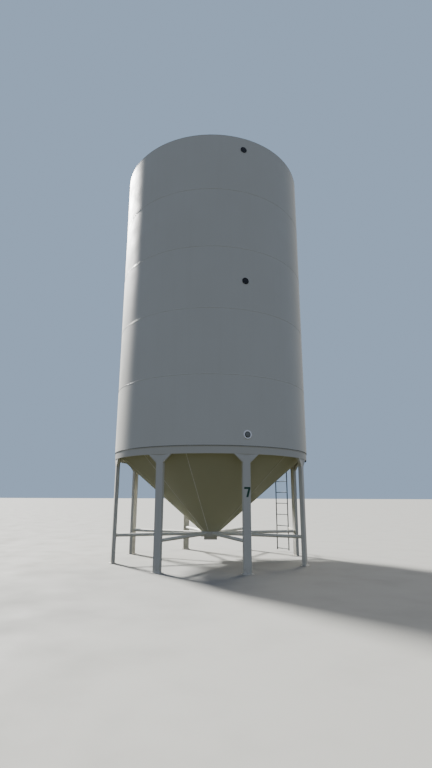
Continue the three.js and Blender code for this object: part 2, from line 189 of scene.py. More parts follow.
# Hot-dip zinc on mild steel, weathered: crystals under a centimetre across, dulled by oxide
def galvanisedMaterial(name, colour, crystalColour, oxideColour):
    crystalMillimetres, crystalShare, oxideMillimetres = 9, 0.35, 71
    material, add, shader, place = newMaterial(name, colour, 0.5, metallic=1.0)
    crystals = add("ShaderNodeTexVoronoi", {"Vector": place, "Scale": 1000 / crystalMillimetres})
    sparkle = add("ShaderNodeSeparateColor", {0: crystals.outputs["Color"]})
    brighter = add("ShaderNodeMath", {0: sparkle, 1: crystalShare}, operation="MULTIPLY")
    bright = {0: brighter, 6: toLinear(colour), 7: toLinear(crystalColour)}
    oxide = pattern(add, place, oxideMillimetres, 6.0, (0.35, 0.7), (0.15, 0.85))
    dull = {0: oxide, 6: add("ShaderNodeMix", bright, data_type="RGBA"), 7: toLinear(oxideColour)}
    setInputs(shader, {
        "Base Color": add("ShaderNodeMix", dull, data_type="RGBA"),
        "Roughness": add("ShaderNodeMapRange", {0: sparkle, 3: 0.38, 4: 0.6}),
        "Normal": add("ShaderNodeBump", {"Height": oxide, "Distance": 0.0003, "Strength": 0.4}),
    })
    return material


# Cold-rolled steel plate, wiped bright along its travel by the runners, with specks of rust
def slidePlateMaterial(name, colour, rustColour):
    brushMillimetres, rustMillimetres = 17, 91
    material, add, shader, place = newMaterial(name, colour, 0.42, metallic=1.0)
    brushed = pattern(add, place, brushMillimetres, 4.0, stretch=(6, 0.25, 1))
    rust = pattern(add, place, rustMillimetres, 7.0, (0.56, 0.7), (0.0, 0.6))
    stain = {0: rust, 6: toLinear(colour), 7: toLinear(rustColour)}
    setInputs(shader, {
        "Base Color": add("ShaderNodeMix", stain, data_type="RGBA"),
        "Roughness": add("ShaderNodeMapRange", {0: brushed, 1: 0.2, 2: 0.8, 3: 0.3, 4: 0.55}),
        "Normal": add("ShaderNodeBump", {"Height": brushed, "Distance": 0.0002, "Strength": 0.3}),
    })
    return material


# A plain finish with a mottle of its own size: glass, rubber, sealant, zinc bolts, vinyl, floor
def mottledMaterial(name, colour, wornColour, roughness, millimetres, metallic=0.0, ior=1.5):
    material, add, shader, place = newMaterial(name, colour, roughness, metallic, ior)
    grain = pattern(add, place, millimetres, 5.0)
    worn = add("ShaderNodeMapRange", {0: grain, 1: 0.5, 2: 0.72, 3: 0.0, 4: 0.6})
    mottle = {0: worn, 6: toLinear(colour), 7: toLinear(wornColour)}
    gloss = {0: grain, 1: 0.3, 2: 0.7, 3: roughness * 0.85, 4: min(1.0, roughness * 1.2)}
    setInputs(shader, {
        "Base Color": add("ShaderNodeMix", mottle, data_type="RGBA"),
        "Roughness": add("ShaderNodeMapRange", gloss),
        "Normal": add("ShaderNodeBump", {"Height": grain, "Distance": 0.0002, "Strength": 0.3}),
    })
    return material


courseCount = 5
wallBottom = heightsOf("wall_course_1_front")[0]
wallTop = heightsOf(f"wall_course_{courseCount}_front")[1]
coursePitch = (wallTop - wallBottom) / courseCount

wallPaint = paintMaterial("wallPaint", "#e4e3db", 0.56, wallBottom, coursePitch)
seamPaint = paintMaterial("seamPaint", "#e4e3db", 0.26)  # thick and glossy over the wall's welds
trimPaint = paintMaterial("trimPaint", "#dedcd4", 0.42)  # roof, skirt and legs: greyer than the wall; on the skirt and legs this is painted shade, for the dim light off the shaded ground
conePaint = paintMaterial("conePaint", "#c9c8ac", 0.42)  # painted shade and reflection: dull olive, standing in for the light from below
braceSheenPaint = paintMaterial("braceSheenPaint", "#f2f1ea", 0.38)  # painted sheen: paler than the legs, standing in for the sky reflected on the pipes
galvanised = galvanisedMaterial("galvanised", "#787c7f", "#c3c6c8", "#55595b")
slidePlate = slidePlateMaterial("slidePlate", "#8d8f90", "#6e4a30")
# Painted highlight: the laps' welds are paler than the cone, for the glints along them, pale in places
lapGlintPaint = mottledMaterial("lapGlintPaint", "#f7f6ee", "#c9c8ac", 0.3, 333)
# Tinted float glass, dusty, and the same with meal behind it
darkGlass = mottledMaterial("darkGlass", "#0f141a", "#2a3036", 0.1, 33)
dustyGlass = mottledMaterial("dustyGlass", "#888b88", "#9a9d99", 0.3, 33)
# Polished stainless steel
brightRing = mottledMaterial("brightRing", "#fffaf0", "#f3eee4", 0.12, 12.5, metallic=1.0)
# Aged grey joint sealant, matt
sealant = mottledMaterial("sealant", "#2d3130", "#4a4d49", 0.7, 17)
# Moulded EPDM rubber, matt black
rubber = mottledMaterial("rubber", "#17191a", "#2c2e2d", 0.65, 11, ior=1.52)
# Electroplated zinc, dull in the corners
zincBolt = mottledMaterial("zincBolt", "#b1b5b6", "#7c7e79", 0.38, 8.3, metallic=1.0)
# Cut vinyl film, half matt
greenVinyl = mottledMaterial("greenVinyl", "#17523f", "#2f6a58", 0.45, 14, ior=1.46)
# Floated concrete, matt and hardly mottled
floorFinish = mottledMaterial("floorFinish", "#94948f", "#8e8e89", 0.9, 833)
print("materials made:", len(bpy.data.materials))


# Meshes

def newPiece(name, mesh):
    piece = bpy.data.objects.new(name, mesh)
    bpy.context.scene.collection.objects.link(piece)
    return piece


def pieceFromBmesh(name, work, mergeWithin=1e-6):
    bmesh.ops.remove_doubles(work, verts=work.verts, dist=mergeWithin)
    bmesh.ops.recalc_face_normals(work, faces=work.faces)
    mesh = bpy.data.meshes.new(name)
    work.to_mesh(mesh)
    work.free()
    return newPiece(name, mesh)


def settle(piece):  # a piece with live modifiers becomes a plain mesh
    depsgraph = bpy.context.evaluated_depsgraph_get()
    mesh = bpy.data.meshes.new_from_object(piece.evaluated_get(depsgraph), depsgraph=depsgraph)
    piece.modifiers.clear()
    piece.data = mesh
    return piece


def smooth(piece, sharpAngle=35.0):
    piece.data.shade_smooth()
    piece.data.set_sharp_from_angle(angle=math.radians(sharpAngle))
    return piece


def bevel(piece, width):
    modifier = piece.modifiers.new("edges", "BEVEL")
    modifier.width = width
    modifier.segments = 2
    modifier.limit_method = "ANGLE"
    modifier.angle_limit = math.radians(40)
    return settle(piece)


def dress(piece, *standsFor, material=trimPaint, body="silo"):
    piece.data.materials.clear()
    piece.data.materials.append(material)
    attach(piece, body)
    if standsFor:
        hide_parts(*standsFor)


def rounded(outline, radius, steps=3):  # the same outline with its corners rounded
    points = []
    count = len(outline)
    for index, (x, y) in enumerate(outline):
        corner = Vector((x, y))
        before = Vector(outline[index - 1]) - corner
        after = Vector(outline[(index + 1) % count]) - corner
        cut = min(radius, before.length / 2.1, after.length / 2.1)  # less than half of an edge
        start = corner + before.normalized() * cut
        end = corner + after.normalized() * cut
        for step in range(steps + 1):
            t = step / steps
            points.append(tuple(start * (1 - t) ** 2 + corner * 2 * t * (1 - t) + end * t ** 2))
    return points


def bridge(work, loops):  # the faces between each closed loop of corners and the next
    for here, there in zip(loops, loops[1:]):
        for index in range(len(here)):
            following = (index + 1) % len(here)
            work.faces.new((here[index], here[following], there[following], there[index]))


# A closed outline of radius and height, turned about Z
def turnedPiece(name, profile, steps=192, sharpAngle=35.0):
    work = bmesh.new()
    rings = []
    for azimuth in evenSteps(360, steps):
        rings.append([work.verts.new(onCircle(azimuth, radius, height)) for radius, height in profile])
    bridge(work, rings + rings[:1])
    if min(radius for radius, height in profile) < 1e-6:  # closes the pole
        bmesh.ops.remove_doubles(work, verts=work.verts, dist=1e-6)
        bmesh.ops.dissolve_degenerate(work, edges=work.edges, dist=1e-7)
    return smooth(pieceFromBmesh(name, work), sharpAngle)


def ringOutline(radius, sheet, low, high):
    return [(radius - sheet, low), (radius, low), (radius, high), (radius - sheet, high)]


def addBlock(work, low, high, turn):  # a block between two corners, then turned
    size = Vector(high) - Vector(low)
    middle = (Vector(high) + Vector(low)) / 2
    place = Matrix.Translation(middle) @ Matrix.Diagonal((*size, 1.0))
    bmesh.ops.create_cube(work, size=1.0, matrix=turn @ place)


def addPrism(work, outline, near, far):  # an upright outline of sides and heights, between two distances
    front = [work.verts.new((x, -far, z)) for x, z in outline]
    back = [work.verts.new((x, -near, z)) for x, z in outline]
    work.faces.new(front)
    work.faces.new(list(reversed(back)))
    bridge(work, [back, front])


def copyOfNode(node, name, edgeRadius):  # a node's own shape with rolled edges
    work = bmesh.new()
    work.from_mesh(nodes[node].data)
    bmesh.ops.remove_doubles(work, verts=work.verts, dist=1e-5)
    bmesh.ops.dissolve_limit(work, angle_limit=math.radians(1), verts=work.verts, edges=work.edges)
    mesh = bpy.data.meshes.new(name)
    work.to_mesh(mesh)
    work.free()
    return smooth(bevel(newPiece(name, mesh), edgeRadius))


# Geometry Nodes

def newTree(name, *sizes):  # its inputs are the start, its sizes and its finish
    tree = bpy.data.node_groups.new(name, "GeometryNodeTree")
    tree.interface.new_socket("Geometry", in_out="OUTPUT", socket_type="NodeSocketGeometry")
    kinds = {"Geometry": "Geometry", "Rung Count": "Int", "Finish": "Material"}  # a size is a Float
    for label in ("Geometry", *sizes, "Finish"):
        kind = kinds.get(label, "Float")
        tree.interface.new_socket(label, in_out="INPUT", socket_type="NodeSocket" + kind)
    add = partial(addNode, tree)
    return add, add("NodeGroupInput").outputs


def endTree(add, geometry, finish):
    real = add("GeometryNodeRealizeInstances", {"Geometry": geometry})
    painted = add("GeometryNodeSetMaterial", {"Geometry": real, "Material": finish})
    return add("NodeGroupOutput", {0: painted}).id_data  # the whole tree


def runTree(name, start, tree, values):
    piece = newPiece(name, start)
    modifier = piece.modifiers.new("nodes", "NODES")
    modifier.node_group = tree
    inputs = [item for item in tree.interface.items_tree if item.in_out == "INPUT"]
    identifiers = {item.name: item.identifier for item in inputs}
    for label, value in values.items():
        modifier[identifiers[label]] = value
    return settle(piece)  # a plain mesh


def weldTree():  # a rippled bead along each path
    add, given = newTree("weldBead", "Bead Radius", "Ripple Length", "Ripple Share", "Step")
    curve = add("GeometryNodeMeshToCurve", {"Mesh": given["Geometry"]})
    even = add("GeometryNodeResampleCurve", {"Curve": curve, "Length": given["Step"]}, mode="LENGTH")
    along = add("GeometryNodeSplineParameter").outputs["Length"]
    turns = add("ShaderNodeMath", {0: along, 1: given["Ripple Length"]}, operation="DIVIDE")
    angle = add("ShaderNodeMath", {0: turns, 1: math.tau}, operation="MULTIPLY")
    wave = add("ShaderNodeMath", {0: angle}, operation="SINE")
    scale = add("ShaderNodeMath", {0: wave, 1: given["Ripple Share"], 2: 1.0}, operation="MULTIPLY_ADD")
    section = add("GeometryNodeCurvePrimitiveCircle", {"Resolution": 12, "Radius": given["Bead Radius"]})
    sweep = {"Curve": even, "Profile Curve": section, "Scale": scale, "Fill Caps": True}
    bead = add("GeometryNodeCurveToMesh", sweep)
    return endTree(add, add("GeometryNodeSetShadeSmooth", {"Geometry": bead}), given["Finish"])


def boltTree():  # washer and hexagon head at each point, square to its facing
    add, given = newTree("hexBolts", "Head Radius", "Head Height", "Washer Radius", "Washer Height")
    stack = []
    for label, sides, seat in (("Head", 6, given["Washer Height"]), ("Washer", 20, 0.0)):
        height = given[f"{label} Height"]
        sizes = {"Vertices": sides, "Radius": given[f"{label} Radius"], "Depth": height}
        disc = add("GeometryNodeMeshCylinder", sizes)
        middle = add("ShaderNodeMath", {0: height, 1: 0.5, 2: seat}, operation="MULTIPLY_ADD")
        lift = add("ShaderNodeCombineXYZ", {"Z": middle})
        stack.append(add("GeometryNodeTransform", {"Geometry": disc, "Translation": lift}))
    bolt = add("GeometryNodeJoinGeometry", {0: stack})
    facing = add("GeometryNodeInputNamedAttribute", {"Name": "facing"}, data_type="FLOAT_VECTOR")
    square = add("FunctionNodeAlignRotationToVector", {"Vector": facing}, axis="Z")
    places = {"Points": given["Geometry"], "Instance": bolt, "Rotation": square}
    return endTree(add, add("GeometryNodeInstanceOnPoints", places), given["Finish"])


def ladderTree():  # two flat rails up Z and round rungs between them
    add, given = newTree(
        "ladderSection", "Width", "Length", "First Rung", "Rung Pitch", "Rung Count", "Rung Radius",
        "Rail Depth", "Rail Sheet",
    )
    bar = {"Width": given["Rail Sheet"], "Height": given["Rail Depth"]}
    section = add("GeometryNodeCurvePrimitiveQuadrilateral", bar)
    eased = add("GeometryNodeFilletCurve", {"Curve": section, "Count": 2, "Radius": 0.0015}, mode="POLY")
    top = add("ShaderNodeCombineXYZ", {"Z": given["Length"]})
    line = add("GeometryNodeCurvePrimitiveLine", {"End": top})
    rail = add("GeometryNodeCurveToMesh", {"Curve": line, "Profile Curve": eased, "Fill Caps": True})
    across = add("ShaderNodeMath", {0: given["Width"], 1: given["Rail Sheet"]}, operation="ADD")
    parts = []
    for side in (0.5, -0.5):
        offset = add("ShaderNodeMath", {0: across, 1: side}, operation="MULTIPLY")
        shift = add("ShaderNodeCombineXYZ", {"X": offset})
        parts.append(add("GeometryNodeTransform", {"Geometry": rail, "Translation": shift}))
    places = add("GeometryNodeMeshLine", {
        "Count": given["Rung Count"],
        "Start Location": add("ShaderNodeCombineXYZ", {"Z": given["First Rung"]}),
        "Offset": add("ShaderNodeCombineXYZ", {"Z": given["Rung Pitch"]}),
    })
    rung = add("GeometryNodeMeshCylinder", {"Vertices": 16, "Radius": given["Rung Radius"], "Depth": across})
    level = {"Points": places, "Instance": rung, "Rotation": (0.0, math.pi / 2, 0.0)}
    parts.append(add("GeometryNodeInstanceOnPoints", level))
    return endTree(add, add("GeometryNodeJoinGeometry", {0: parts}), given["Finish"])


weldBead = weldTree()
hexBolts = boltTree()
ladderSection = ladderTree()
print("trees made:", len(bpy.data.node_groups))

weldValues = {"ripple": 0.012, "rippleShare": 0.14, "stepsInRipple": 3}


def weld(name, paths, radius, step=0.004, closed=False, material=trimPaint):
    points, edges = [], []
    for path in paths:
        first, last = len(points), len(points) + len(path) - 1
        points.extend(path)
        edges.extend((index, index + 1) for index in range(first, last))
        if closed:
            edges.append((last, first))
    mesh = bpy.data.meshes.new(name)
    mesh.from_pydata(points, edges, [])
    rippled = step <= weldValues["ripple"] / weldValues["stepsInRipple"]  # longer steps can't follow it
    piece = runTree(name, mesh, weldBead, {
        "Bead Radius": radius,
        "Ripple Length": weldValues["ripple"],
        "Ripple Share": weldValues["rippleShare"] if rippled else 0.0,
        "Step": step,
        "Finish": material,
    })
    dress(piece, material=material)


boltValues = {"heightShare": 0.8, "washerShare": 1.45, "washerHeight": 0.003}


def bolts(name, places, head):  # each place is a point and the way its bolt faces
    mesh = bpy.data.meshes.new(name)
    mesh.from_pydata([point for point, way in places], [], [])
    facing = mesh.attributes.new("facing", "FLOAT_VECTOR", "POINT")
    for index, (point, way) in enumerate(places):
        facing.data[index].vector = way
    piece = runTree(name, mesh, hexBolts, {
        "Head Radius": head,
        "Head Height": head * boltValues["heightShare"],
        "Washer Radius": head * boltValues["washerShare"],
        "Washer Height": boltValues["washerHeight"],
        "Finish": zincBolt,
    })
    dress(piece, material=zincBolt)


def ringPath(radius, height, count=180):
    return [onCircle(azimuth, radius, height) for azimuth in evenSteps(360, count)]


# Wall: five smooth rolled courses, drawn in a little at the level welds
wall = {
    "drawnIn": 0.0012, "drawnInReach": 0.055, "sheet": 0.0034,
    "bendIn": 0.5, "bendUp": 0.4,  # between, drawn in this share of the depth at this share of the reach
    "levelBeadRadius": 0.01, "levelBeadCrown": 0.0034,  # wide and flat: it glints in low sun
    "uprightBeadRadius": 0.0032, "uprightBeadSunk": 0.001, "uprightBeadClear": 0.01,
    "seamAzimuths": (-90.0, -75.0),
}
wallRadius = widestRadius("wall_course_1_front")


def wallCourse(index):
    bottom, top = heightsOf(f"wall_course_{index}_front")
    dip, reach, sheet = wall["drawnIn"], wall["drawnInReach"], wall["sheet"]
    bent, bend = wallRadius - dip * wall["bendIn"], reach * wall["bendUp"]
    outside = [
        (wallRadius - dip, bottom), (bent, bottom + bend), (wallRadius, bottom + reach),
        (wallRadius, (bottom + top) / 2),
        (wallRadius, top - reach), (bent, top - bend), (wallRadius - dip, top),
    ]
    inside = [(radius - sheet, height) for radius, height in reversed(outside)]
    shell = turnedPiece(f"wall_shell_{index}", outside + inside)
    dress(shell, f"wall_course_{index}_front", f"wall_course_{index}_back", material=wallPaint)


for index in range(1, courseCount + 1):
    wallCourse(index)
seamRadius = wallRadius + wall["levelBeadCrown"] - wall["levelBeadRadius"]
levelSeams = [ringPath(seamRadius, wallBottom + coursePitch * index) for index in range(1, courseCount)]
weld("wall_level_welds", levelSeams, wall["levelBeadRadius"], step=0.05, closed=True, material=seamPaint)
uprightSeams = []
for index in range(courseCount):
    bottom = wallBottom + index * coursePitch + wall["uprightBeadClear"]
    top = wallBottom + (index + 1) * coursePitch - wall["uprightBeadClear"]
    seam = wall["seamAzimuths"][index % 2]
    for azimuth in (seam, seam + 180):
        uprightSeams.append([
            onCircle(azimuth, wallRadius - wall["uprightBeadSunk"], height) for height in (bottom, top)
        ])
weld("wall_upright_welds", uprightSeams, wall["uprightBeadRadius"], material=seamPaint)
print("wall made")


# Skirt band and ledge, with the dark sealant that laps over the ledge's edge
skirt = {
    "sheet": 0.008, "edgeRound": 0.003, "ledgeThickness": 0.012, "ledgeInner": 2.380,
    "jointHeight": 0.003, "jointDrop": 0.006, "jointProud": 0.001,
    "jointOnWall": 0.0008, "jointTucked": 0.0005,
    "stitchCount": 72, "stitchLength": 0.05, "stitchRadius": 0.0035, "stitchOut": 0.002,
}
ledgeRadius = widestRadius("skirt_front")
skirtBottom, ledgeTop = heightsOf("skirt_front")
ledgeBottom = ledgeTop - skirt["ledgeThickness"]
skirtRadius = widestRadius("skirt_front", skirtBottom + onLevel)
skirtInner = skirtRadius - skirt["sheet"]

ledgeInner = skirt["ledgeInner"]
skirtOutline = [
    (skirtInner, skirtBottom), (skirtRadius, skirtBottom), (skirtRadius, ledgeBottom),
    (ledgeRadius, ledgeBottom), (ledgeRadius, ledgeTop), (ledgeInner, ledgeTop),
    (ledgeInner, ledgeBottom), (skirtInner, ledgeBottom),
]
skirtBand = turnedPiece("skirt_band", rounded(skirtOutline, skirt["edgeRound"]))
dress(skirtBand, "skirt_front", "skirt_back")

jointOuter = ledgeRadius + skirt["jointProud"]
jointTop = ledgeTop + skirt["jointHeight"]
jointBottom = ledgeTop - skirt["jointDrop"]
tucked = skirt["jointTucked"]
jointOutline = [
    (wallRadius - tucked, ledgeTop), (wallRadius - tucked, jointTop),
    (wallRadius + skirt["jointOnWall"], jointTop), (jointOuter, ledgeTop + skirt["jointProud"]),
    (jointOuter, jointBottom), (ledgeRadius - tucked, jointBottom), (ledgeRadius - tucked, ledgeTop),
]
dress(turnedPiece("ledge_joint", jointOutline), material=sealant)

stitches = []
stitchHalf = math.degrees(skirt["stitchLength"] / skirtRadius) / 2
radius, height = skirtRadius + skirt["stitchOut"], ledgeBottom - skirt["stitchOut"]
for middle in evenSteps(360, skirt["stitchCount"]):
    stitches.append([onCircle(middle + stitchHalf * t, radius, height) for t in (-1, 0, 1)])
weld("ledge_stitch_welds", stitches, skirt["stitchRadius"])
print("skirt made")


# Hopper cone of five wide plates and two narrow ones that lap each other
cone = {
    "sheet": 0.0048,
    "lapAzimuths": (-67.0, -40.5, -13.0, 48.5, 107.5, 167.0, 226.5),
    "lapWidth": 0.042, "lapProud": 0.0032, "lapSunk": 0.001, "lapFrom": 0.02, "lapTo": 0.95,
    "beadRadius": 0.009, "beadCrown": 0.0065, "stations": 24,
}
coneBottom, coneTop = heightsOf("hopper_cone_front")
coneTopRadius = widestRadius("hopper_cone_front")
coneOutletRadius = widestRadius("hopper_cone_front", coneBottom + onLevel)
coneSlope = math.atan2(coneTop - coneBottom, coneTopRadius - coneOutletRadius)
coneAcross = cone["sheet"] / math.sin(coneSlope)


def coneRadius(share):  # share 0 at the outlet and 1 at the top
    return coneOutletRadius + share * (coneTopRadius - coneOutletRadius)


def onCone(azimuth, share, proud):
    height = coneBottom + share * (coneTop - coneBottom)
    radius = coneRadius(share) + proud * math.sin(coneSlope)
    return onCircle(azimuth, radius, height - proud * math.cos(coneSlope))


coneOutline = [
    (coneOutletRadius - coneAcross, coneBottom), (coneOutletRadius, coneBottom),
    (coneTopRadius, coneTop), (coneTopRadius - coneAcross, coneTop),
]
dress(turnedPiece("hopper_shell", coneOutline), "hopper_cone_front", "hopper_cone_back", material=conePaint)


def coneLaps():  # the upper plate's edge stands proud on the left of each weld
    work = bmesh.new()
    welds = []
    proud, sunk = cone["lapProud"], -cone["lapSunk"]
    beadMiddle = cone["beadCrown"] - cone["beadRadius"]
    lapReach = cone["lapTo"] - cone["lapFrom"]
    stations = cone["stations"]
    shares = [cone["lapFrom"] + lapReach * station / stations for station in range(stations + 1)]
    for azimuth in cone["lapAzimuths"]:
        sections = []
        for share in shares:
            left = azimuth - math.degrees(cone["lapWidth"] / coneRadius(share))
            corners = ((azimuth, sunk), (azimuth, proud), (left, proud), (left, sunk))
            sections.append([work.verts.new(onCone(place, share, rise)) for place, rise in corners])
        bridge(work, sections)
        work.faces.new(sections[0])
        work.faces.new(list(reversed(sections[-1])))
        welds.append([onCone(azimuth, share, beadMiddle) for share in shares])
    return pieceFromBmesh("hopper_laps", work), welds


laps, lapWelds = coneLaps()
dress(smooth(laps, sharpAngle=25), material=conePaint)
weld("hopper_lap_welds", lapWelds, cone["beadRadius"], step=0.02, material=lapGlintPaint)
print("cone made")


# Roof: smooth cone with radial lap welds and a lip at the eave
roof = {
    "slope": 30.0, "sheet": 0.0034, "lip": 0.006, "eaveInset": 0.012,
    "overhang": 0.001,  # next to none: the top of the wall shows no dark line under the roof
    "seamCount": 16, "seamStart": 11.25, "seamRadius": 0.005, "seamClear": (0.02, 0.03),
}
roofRadius = wallRadius + roof["overhang"]
roofBottom, roofTop = heightsOf("roof_front")
roofSlope = math.radians(roof["slope"])
roofHole = widestRadius("roof_front") - (roofTop - roofBottom - roof["lip"]) / math.tan(roofSlope)


def roofHeight(radius):
    return roofTop - (radius - roofHole) * math.tan(roofSlope)


roofUp = roof["sheet"] / math.cos(roofSlope)
eaveInner = wallRadius - roof["eaveInset"]
roofShell = turnedPiece("roof_shell", [
    (eaveInner, roofBottom), (roofRadius, roofBottom), (roofRadius, roofHeight(roofRadius)),
    (roofHole, roofTop), (roofHole, roofTop - roofUp), (eaveInner, roofHeight(eaveInner) - roofUp),
], sharpAngle=20)
dress(roofShell, "roof_front", "roof_back")
roofSeams = []
seamEnds = (roofHole + roof["seamClear"][0], roofRadius - roof["seamClear"][1])
for azimuth in evenSteps(360, roof["seamCount"]):
    seam = azimuth + roof["seamStart"]
    roofSeams.append([onCircle(seam, radius, roofHeight(radius)) for radius in seamEnds])
weld("roof_seam_welds", roofSeams, roof["seamRadius"], step=0.02)
print("roof made")


# Legs: folded box sections with rolled corners, a flared head plate with a flange each side, and a foot plate
legs = {
    "count": 8, "halfWidth": 0.0825, "sheet": 0.006, "cornerRadius": 0.010,
    "headHalf": 0.270, "headHeight": 0.175, "tipFrom": 0.250, "flangeDepth": 0.060, "edgeRadius": 0.0015,
    "footThickness": 0.012, "boltOffset": 0.094, "boltHead": 0.011, "beadRadius": 0.0035, "beadUp": 0.001,
}


def measureLeg(node):  # its distances from the axis and its heights, from the CAD
    azimuth = azimuthOf(node)
    corners = [turned(azimuth).inverted() @ vertex.co for vertex in nodes[node].data.vertices]
    stem = [corner for corner in corners if corner.z > legs["footThickness"] + onLevel]
    foot = [corner for corner in corners if corner.z < onLevel]
    back = -max(corner.y for corner in stem)
    return {
        "azimuth": azimuth,
        "face": -min(corner.y for corner in stem),
        "back": back,
        "top": max(corner.z for corner in corners),
        "backTop": max(corner.z for corner in corners if abs(-corner.y - back) < onLevel),
        "headTop": max(corner.z for corner in corners if abs(corner.x) > legs["tipFrom"]),
        "footHalf": max(corner.x for corner in foot),
        "footNear": -max(corner.y for corner in foot),
        "footFar": -min(corner.y for corner in foot),
    }


def legSection(leg, inset):
    half, near, far = legs["halfWidth"] - inset, leg["back"] + inset, leg["face"] - inset
    outline = [(-half, -far), (half, -far), (half, -near), (-half, -near)]
    return rounded(outline, legs["cornerRadius"] - inset, steps=6)


def legStem(name, leg):  # a box open at both ends, cut along the cone at its head
    foot = legs["footThickness"]
    slope = (leg["top"] - leg["backTop"]) / (leg["face"] - legs["sheet"] - leg["back"])

    def headHeight(y):
        return min(leg["top"], leg["backTop"] + slope * (-y - leg["back"]))

    work = bmesh.new()
    outer, inner = legSection(leg, 0.0), legSection(leg, legs["sheet"])
    loops = [
        [work.verts.new((x, y, foot)) for x, y in outer],
        [work.verts.new((x, y, headHeight(y))) for x, y in outer],
        [work.verts.new((x, y, headHeight(y))) for x, y in inner],
        [work.verts.new((x, y, foot)) for x, y in inner],
    ]
    bridge(work, loops + loops[:1])
    work.transform(turned(leg["azimuth"]))
    return smooth(pieceFromBmesh(name, work, mergeWithin=1e-7), sharpAngle=50)


def legPlates(name, leg):  # flared head plate, its two flanges, and the foot plate
    half, sheet, foot = legs["halfWidth"], legs["sheet"], legs["footThickness"]
    headTop, headHalf, face = leg["headTop"], legs["headHalf"], leg["face"]
    headBottom = headTop - legs["headHeight"]
    slope = (headHalf - half) / legs["headHeight"]
    edgeUp = sheet * math.hypot(1, slope) / slope
    work = bmesh.new()
    for side in (-1, 1):
        tip, outer = side * headHalf, side * half
        inset = outer - side * legs["cornerRadius"]
        plate = [(inset, headBottom), (outer, headBottom), (tip, headTop), (inset, headTop)]
        addPrism(work, plate, face - sheet, face)
        innerTip = tip - side * edgeUp * slope
        flange = [(outer, headBottom), (tip, headTop), (innerTip, headTop), (outer, headBottom + edgeUp)]
        addPrism(work, flange, face - legs["flangeDepth"], face - sheet / 2)
    footHalf = leg["footHalf"]
    footPlate = [(-footHalf, 0.0), (footHalf, 0.0), (footHalf, foot), (-footHalf, foot)]
    addPrism(work, footPlate, leg["footNear"], leg["footFar"])
    work.transform(turned(leg["azimuth"]))
    return smooth(bevel(pieceFromBmesh(name, work), legs["edgeRadius"]))


footBolts, footWelds, headWelds = [], [], []
for index in range(1, legs["count"] + 1):
    leg = measureLeg(f"leg_{index}")
    dress(legStem(f"leg_{index}_stem", leg), f"leg_{index}")
    dress(legPlates(f"leg_{index}_plates", leg))
    turn = turned(leg["azimuth"])
    footTop = legs["footThickness"]
    footWelds.append([turn @ Vector((x, y, footTop + legs["beadUp"])) for x, y in legSection(leg, 0.0)])
    headTop = leg["headTop"] + legs["beadUp"]
    ends = (-legs["headHalf"], legs["headHalf"])
    headWelds.append([turn @ Vector((x, -leg["face"], headTop)) for x in ends])
    middle = (leg["footNear"] + leg["footFar"]) / 2
    for side in (-legs["boltOffset"], legs["boltOffset"]):
        footBolts.append((fromAxis(leg["azimuth"], side, middle, footTop), (0, 0, 1)))
bolts("foot_bolts", footBolts, legs["boltHead"])
weld("foot_welds", footWelds, legs["beadRadius"], step=0.008, closed=True)
weld("head_welds", headWelds, legs["beadRadius"], step=0.008)
print("legs made")


# Braces: smooth pipes from the inner faces of the legs to the collar, welded at both ends
braces = {"sides": 40, "beadRadius": 0.0045, "beadIn": 0.002, "beadSteps": 28}


def bracePipe(name, azimuth, near, far, radius, height):
    work = bmesh.new()
    bmesh.ops.create_cone(
        work,
        cap_ends=True,
        segments=braces["sides"],
        radius1=radius,
        radius2=radius,
        depth=far - near,
        matrix=facingOut(azimuth, onCircle(azimuth, (near + far) / 2, height)),
    )
    return smooth(pieceFromBmesh(name, work))


def braceEnd(azimuth, distance, radius, height):
    angles = evenSteps(math.tau, braces["beadSteps"])
    circle = [(radius * math.cos(angle), height + radius * math.sin(angle)) for angle in angles]
    return [fromAxis(azimuth, side, distance, up) for side, up in circle]


braceEnds = []
for index in range(1, legs["count"] + 1):
    brace = f"brace_{index}"
    azimuth = azimuthOf(brace)
    near, far = reachOf(brace, azimuth)
    low, high = heightsOf(brace)
    radius, height = (high - low) / 2, (high + low) / 2
    pipe = bracePipe(f"brace_{index}_pipe", azimuth, near, far, radius, height)
    dress(pipe, brace, material=braceSheenPaint)
    for distance in (near + braces["beadIn"], far - braces["beadIn"]):
        braceEnds.append(braceEnd(azimuth, distance, radius + braces["beadIn"], height))
weld("brace_end_welds", braceEnds, braces["beadRadius"], closed=True, material=braceSheenPaint)
print("braces made")


# Stay: a flat bar from the back right leg to the ladder, welded round both ends
stay = {"edgeRadius": 0.0015, "beadRadius": 0.003, "endReach": 0.012}
stayVertices = nodes["ladder_stay"].data.vertices
stayPlaces = {tuple(round(value, 5) for value in vertex.co) for vertex in stayVertices}  # each corner once
stayCorners = [Vector(place) for place in sorted(stayPlaces)]


def stayEnd(direction):  # the corners of the bar's end, in order round it
    furthest = max(place.dot(direction) for place in stayCorners)
    end = [place for place in stayCorners if place.dot(direction) > furthest - stay["endReach"]]
    middle = sum(end, Vector()) / len(end)
    across = direction.cross(Vector((0, 0, 1)))
    return sorted(end, key=lambda place: math.atan2((place - middle).z, (place - middle).dot(across)))


dress(copyOfNode("ladder_stay", "ladder_stay_bar", stay["edgeRadius"]), "ladder_stay")
oneEnd = stayCorners[0]
otherEnd = max(stayCorners, key=lambda place: (place - oneEnd).length)
stayAlong = Vector((otherEnd.x - oneEnd.x, otherEnd.y - oneEnd.y, 0)).normalized()
weld("stay_welds", [stayEnd(stayAlong), stayEnd(-stayAlong)], stay["beadRadius"], closed=True)
print("stay made")


# Outlet collar, welded to the cone
collars = {"outletSheet": 0.012, "fillSheet": 0.008, "edgeRound": 0.002, "beadRadius": 0.005, "beadUp": 0.002}
beadUp = collars["beadUp"]


def rolledCollar(name, node, sheet):
    radius = widestRadius(node)
    outline = rounded(ringOutline(radius, sheet, *heightsOf(node)), collars["edgeRound"])
    dress(turnedPiece(name, outline, steps=96), node)
    return radius, heightsOf(node)[1]


